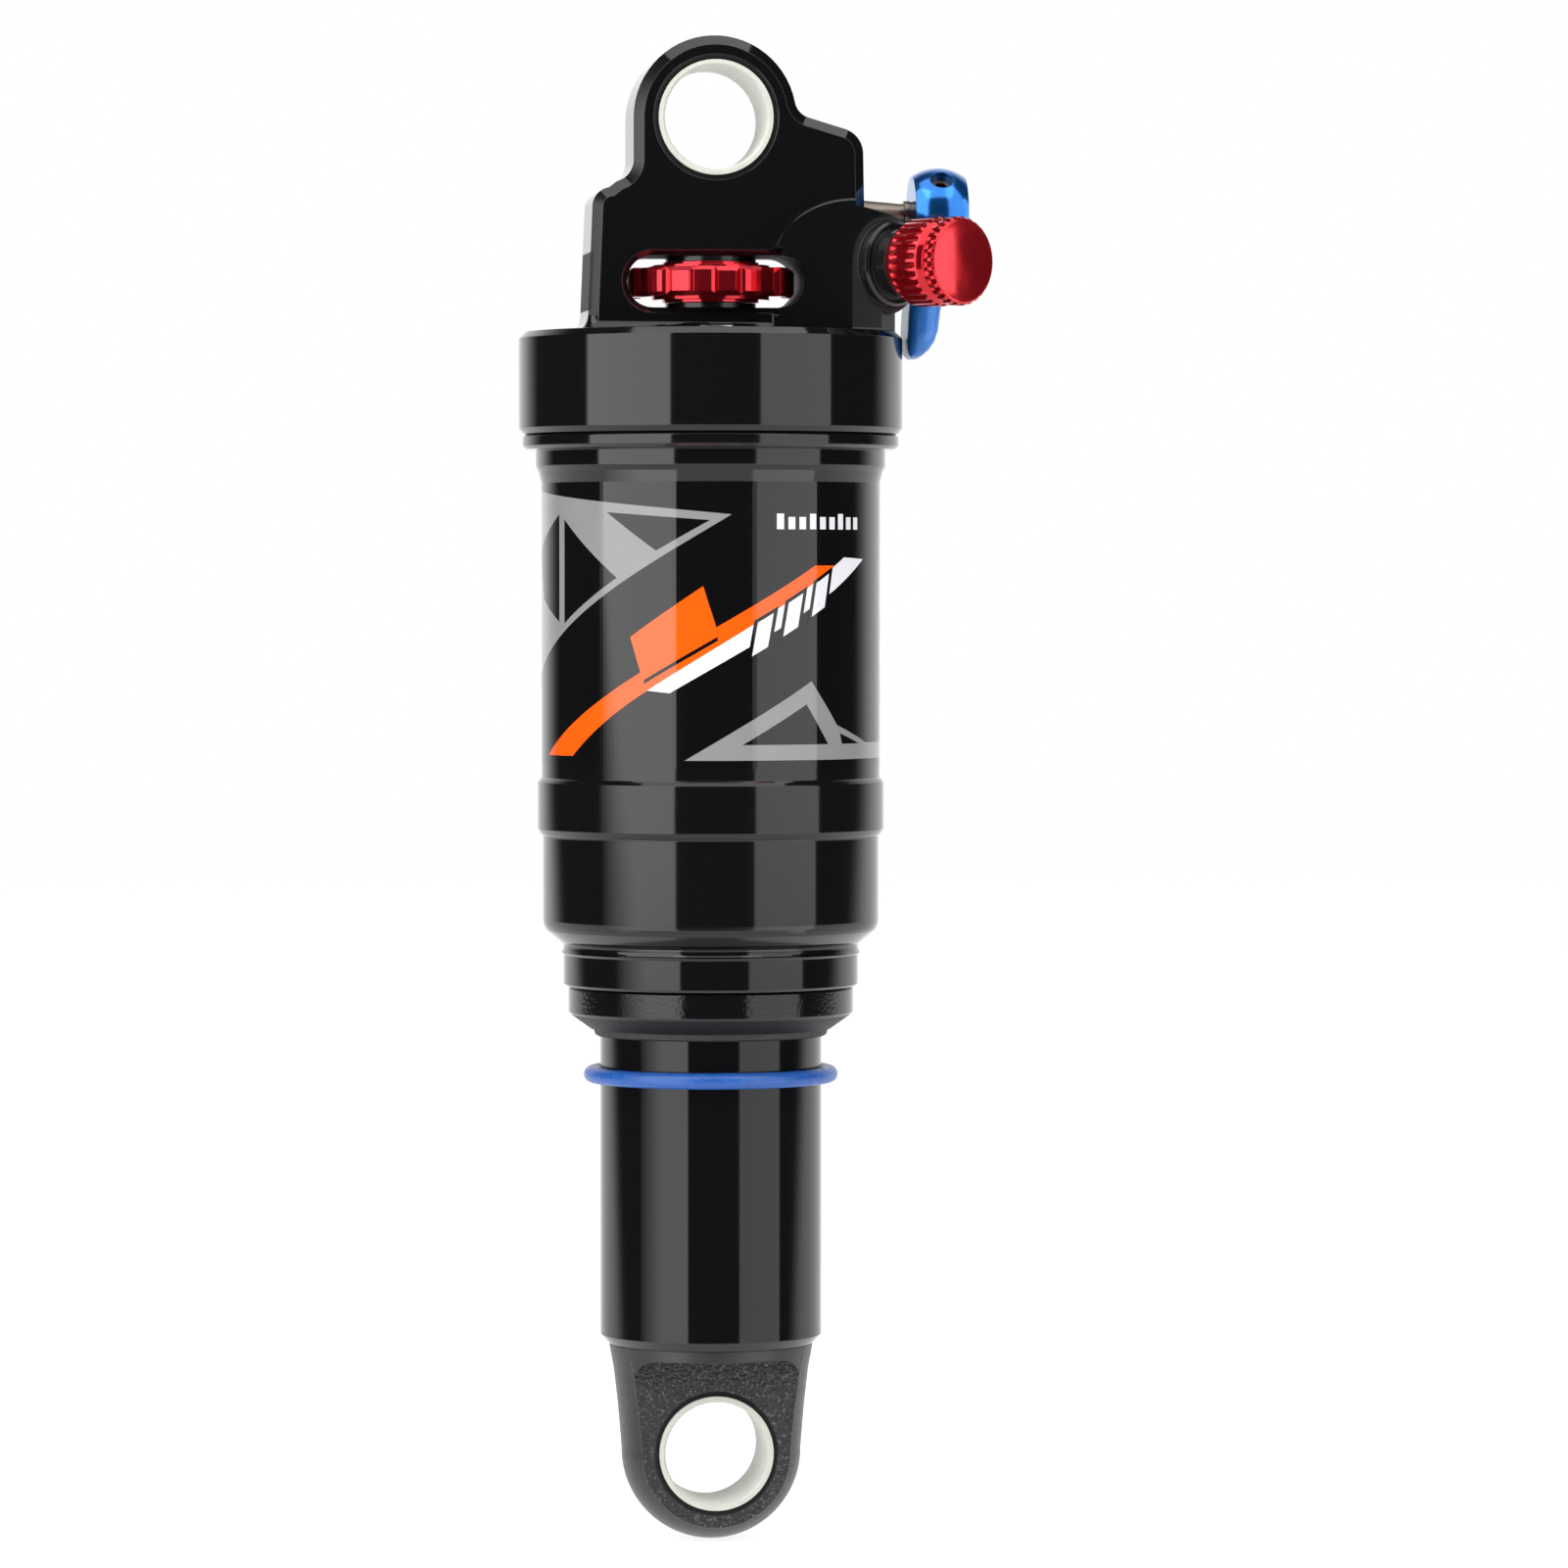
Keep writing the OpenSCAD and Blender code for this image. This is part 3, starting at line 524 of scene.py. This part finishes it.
def anodised_black(name):
    """Surface of gloss black anodising, with fine turned lines round the axis and faint smears."""
    s = Surface(name, (0.0035, 0.0035, 0.004), 0.07, IOR=1.5)
    s.rounded(0.12)
    smear = s.noise(0.05, 4, (1, 1, 0.35))
    s.vary_roughness(s.spread(smear, 0.05, 0.1))
    s.vary_color(s.noise(0.8, 5), (0.005, 0.005, 0.006))
    s.bump(s.noise(9, 2, (0.05, 0.05, 1)), 0.004, 0.12)
    return s


COLLAR_TOP = -26.3            # height of the collar's upper face, in millimetres


def head_black():
    """The same anodising, dull in the dial's window, satin on the foot and boss, flatter on the boss."""
    s = anodised_black("head_black")
    low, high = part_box("rebound_dial")
    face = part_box("upper_bushing")[0].y           # the plate's front is flush with the bushing
    window = s.spread(s.math("ABSOLUTE", s.along("Y")), 1, 0, -face - 0.95 * MM, -face - 0.75 * MM)
    for edge, step in ((high.z + MM, 0.2 * MM), (low.z - MM, -0.2 * MM)):
        window = s.math("MULTIPLY", window, s.spread(s.along("Z"), 0, 1, edge + step, edge))
    in_front = s.spread(s.along("Y"), 1, 0, face - 0.5 * MM, face - 0.2 * MM)
    above_collar = s.spread(s.along("Z"), 0, 1, COLLAR_TOP * MM, (COLLAR_TOP + 0.3) * MM)
    in_relief = s.math("MULTIPLY", in_front, above_collar)
    dull_roughness, satin_roughness = 0.6, 0.18
    dull = s.math("MULTIPLY", window, dull_roughness)
    satin = s.math("MULTIPLY", in_relief, satin_roughness)
    plain = s.shader.inputs["Roughness"].links[0].from_socket
    s.vary_roughness(s.math("MAXIMUM", s.math("MAXIMUM", plain, dull), satin))
    forwards = -4.5
    s.lean_normal(s.math("MULTIPLY", in_relief, s.spread(s.along("X"), 0, forwards, 6 * MM, 8 * MM)))
    return s.material


def seal_head_black():
    """The same anodising, turned coarser on its cone, which would otherwise mirror the travel ring."""
    s = anodised_black("seal_head_black")
    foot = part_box("seal_head")[0].z
    dull, shiny = 0.55, 0.08
    s.vary_roughness(s.spread(s.along("Z"), dull, shiny, foot + 1.7 * MM, foot + 1.9 * MM))
    s.bump(s.noise(2.2, 3), 0.05, 0.5)
    return s.material


def eyelet_black():
    """Forged black aluminium: satin outside, and blasted to a grain on its flats, with painted glints as bright
    specks there.
    """
    s = Surface("eyelet_black", (0.013, 0.013, 0.015), 0.36, IOR=1.5)
    s.rounded(0.25)
    from_middle = s.math("ABSOLUTE", s.along("Y"))
    flat_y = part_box("lower_bushing")[1].y
    flat = s.math("MULTIPLY", s.spread(from_middle, 0.04, 1, flat_y - 0.25 * MM, flat_y - 0.05 * MM),
                  s.spread(from_middle, 1, 0.04, flat_y + 0.05 * MM, flat_y + 0.25 * MM))
    s.bump(s.math("MULTIPLY", s.noise(2.4, 2), flat), 0.3, 0.9)
    # painted glints: bright specks mixed into the base colour on the flats, standing in for the sparkle of the
    # grain
    painted_glint = s.math("MULTIPLY", s.spread(s.noise(3.4, 2), 0, 1, 0.57, 0.68), flat)
    s.vary_color(s.noise(0.4, 4), (0.018, 0.018, 0.021))
    s.vary_color(painted_glint, (0.1, 0.1, 0.105))
    s.vary_roughness(s.spread(s.noise(3.1, 2), 0.3, 0.45))
    return s.material


def metal(name, color, roughness):
    """Plain turned metal with fine tool lines and a little variation."""
    s = Surface(name, color, roughness, Metallic=1.0)
    s.rounded(0.1)
    s.vary_roughness(s.spread(s.noise(0.6, 4), roughness * 0.8, roughness * 1.35))
    s.vary_color(s.noise(0.4, 4), tuple(c * 0.8 for c in color))
    s.bump(s.noise(6, 2, (1, 1, 0.2)), 0.004, 0.15)
    return s.material


def dyed(name, color, dark, roughness, metallic):
    """Bright dyed anodising: a tinted mirror with a clear film over it."""
    s = Surface(name, color, roughness, Metallic=metallic, Coat_Weight=0.35, Coat_Roughness=0.05)
    s.rounded(0.14)
    s.vary_roughness(s.spread(s.noise(0.3, 4), roughness * 0.8, roughness * 1.4))
    s.vary_color(s.noise(1.1, 5), dark)
    s.bump(s.noise(7, 2), 0.003, 0.12)
    return s.material


def lever_blue(color, dark):
    """Dyed anodising that is bright on the turned hub and satin on the lever's arm."""
    s = Surface("anodised_blue", color, 0.16, Coat_Weight=0.35, Coat_Roughness=0.05)
    s.rounded(0.14)
    s.vary_color(s.noise(1.1, 5), dark)
    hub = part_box("lockout_spindle")[0].z - 2.5 * MM
    s.link(s.spread(s.along("Z"), 0.15, 0.85, hub - MM, hub + MM), s.shader.inputs["Metallic"])
    s.vary_roughness(s.spread(s.along("Z"), 0.38, 0.17, hub - MM, hub + MM))
    s.bump(s.noise(7, 2), 0.003, 0.12)
    return s.material


def bushing_ivory():
    """Dry-running polymer liner, slightly greenish ivory and satin."""
    s = Surface("bushing_ivory", (0.63, 0.63, 0.58), 0.4, IOR=1.48, Subsurface_Weight=0.1)
    s.shader.inputs["Subsurface Radius"].default_value = (0.001, 0.001, 0.0008)
    s.rounded(0.1)
    s.vary_color(s.noise(0.5, 5), (0.55, 0.56, 0.49))
    s.vary_roughness(s.spread(s.noise(1.2, 4), 0.32, 0.5))
    s.bump(s.noise(5, 3), 0.01, 0.15)
    return s.material


def gloss(name, color):
    """Smooth gloss black of a plated or moulded small part."""
    s = Surface(name, color, 0.16, IOR=1.5)
    s.rounded(0.1)
    s.vary_roughness(s.spread(s.noise(0.8, 4), 0.12, 0.24))
    s.bump(s.noise(4, 2), 0.003, 0.1)
    return s.material


def rubber(name, color, roughness):
    """Moulded rubber or plastic, dull and a little uneven."""
    s = Surface(name, color, roughness, IOR=1.5)
    s.rounded(0.1)
    s.vary_roughness(s.spread(s.noise(1.5, 4), roughness - 0.12, roughness + 0.1))
    s.vary_color(s.noise(0.7, 5), tuple(c * 1.7 for c in color))
    s.bump(s.noise(6, 3), 0.02, 0.2)
    return s.material


def print_ink(name, color):
    """Ink under a gloss film, a little uneven."""
    s = Surface(name, color, 0.07, IOR=1.5)
    s.vary_color(s.spread(s.noise(0.25, 5), 0, 0.5), tuple(c * 0.9 for c in color))
    s.vary_roughness(s.spread(s.noise(0.05, 4, (1, 1, 0.35)), 0.05, 0.1))
    return s.material


def dress_nodes():
    """Gives every CAD node the finish that its slot in the record names."""
    red, dark_red = (0.68, 0.02, 0.035), (0.5, 0.01, 0.018)
    blue, dark_blue = (0.016, 0.17, 0.55), (0.01, 0.13, 0.47)
    finishes = {
        "anodised_black": anodised_black("anodised_black").material,
        "eyelet_black": eyelet_black(),
        "bushing_ivory": bushing_ivory(),
        "anodised_red": dyed("anodised_red", red, dark_red, 0.1, 0.85),
        "anodised_blue": lever_blue(blue, dark_blue),
        "ring_blue": rubber("ring_blue", (0.012, 0.072, 0.29), 0.35),
        "rubber": rubber("rubber", (0.018, 0.018, 0.018), 0.62),
        "elastomer": rubber("elastomer", (0.4, 0.39, 0.34), 0.5),
        "valve_black": gloss("valve_black", (0.007, 0.007, 0.008)),
        "washer_black": gloss("washer_black", (0.006, 0.006, 0.006)),
        "steel": metal("steel", (0.55, 0.55, 0.57), 0.22),
        "dark_steel": metal("dark_steel", (0.22, 0.17, 0.13), 0.3),
        "bronze_steel": metal("bronze_steel", (0.2, 0.17, 0.145), 0.3),
        "brass": metal("brass", (0.72, 0.52, 0.22), 0.25),
        "aluminium": metal("aluminium", (0.75, 0.75, 0.76), 0.25),
        "bearing_polymer": rubber("bearing_polymer", (0.12, 0.07, 0.03), 0.45),
    }
    for part in frame["record"]["subparts"]:
        dress(part["node"], finishes[part["material_slot"]])
    dress("head", head_black())
    dress("seal_head", seal_head_black())
    return finishes


def flat_regions(mesh, spots, limit):
    """Which flat region each face is in, and for each region its summed normal and its spots."""
    beside = {}
    for face in mesh.polygons:
        for start, end in face.edge_keys:
            beside.setdefault(frozenset((spots[start], spots[end])), []).append(face)
    region = {}
    sums, touched = [], []
    for seed in sorted(mesh.polygons, key=lambda face: -face.area):
        if seed.index in region:
            continue
        label = len(sums)
        region[seed.index] = label
        sums.append(Vector())
        touched.append(set())
        queue = [seed]
        while queue:
            face = queue.pop()
            sums[label] += face.normal * face.area
            touched[label].update(spots[index] for index in face.vertices)
            for start, end in face.edge_keys:
                for other in beside[frozenset((spots[start], spots[end]))]:
                    if other.index not in region and other.normal.dot(seed.normal) > limit:
                        region[other.index] = label
                        queue.append(other)
    return region, sums, touched


def fitted_normals(shared, normals, group):
    """Normals at a group's spots that change evenly over the facet, fitted to its shared edges."""
    places = np.array(shared)
    middle = places.mean(axis=0)
    spread, axes = np.linalg.svd(places - middle, full_matrices=False)[1:]
    least = 0.01                  # keeps a facet with no width from dividing by zero
    across = axes[:2] / np.maximum(spread[:2, None], least)
    terms = np.c_[np.ones(len(places)), (places - middle) @ across.T]
    fit = np.linalg.lstsq(terms, np.array(normals), rcond=None)[0]
    return [Vector(np.r_[1, (np.array(spot) - middle) @ across.T] @ fit) for spot in group]


FLAT_WITHIN = 0.8             # degrees between the faces of one flat region


def smooth_facets(node, limit):
    """Shades a faceted node round across edges under limit degrees, evenly along each facet."""
    mesh = nodes[node].data
    spots = [tuple(round(value / MM, 3) for value in vert.co) for vert in mesh.vertices]
    region, sums, touched = flat_regions(mesh, spots, math.cos(math.radians(FLAT_WITHIN)))
    at_spot = {}
    for label, group in enumerate(touched):
        for spot in group:
            at_spot.setdefault(spot, []).append(label)
    sharpest = math.cos(math.radians(limit))
    shade = {}
    for label, group in enumerate(touched):
        flat = sums[label].normalized()
        shared, normals = [], []
        for spot in group:
            near = [other for other in at_spot[spot] if sums[other].length
                    and sums[other].normalized().dot(flat) > sharpest]
            total = sum((sums[other] for other in near), Vector())
            shade[label, spot] = total.normalized() if total.length else flat
            if len(near) > 1:
                shared.append(spot)
                normals.append(shade[label, spot])
        if len(shared) < 4:           # too few to fit
            continue
        for spot, smooth in zip(group, fitted_normals(shared, normals, group)):
            if smooth.length and smooth.normalized().dot(flat) > sharpest:
                shade[label, spot] = smooth.normalized()
    for face in mesh.polygons:
        face.use_smooth = True
    mesh.normals_split_custom_set([shade[region[face.index], spots[index]]
                                   for face in mesh.polygons for index in face.vertices])


make_camera()
make_world()
bpy.context.scene.view_settings.view_transform = "Standard"
finishes = dress_nodes()
make_cap(finishes["anodised_red"])
for faceted in ("head", "lockout_lever"):
    smooth_facets(faceted, limit=26)
make_prints()
make_lights()
make_floor(cad_box[0][2])
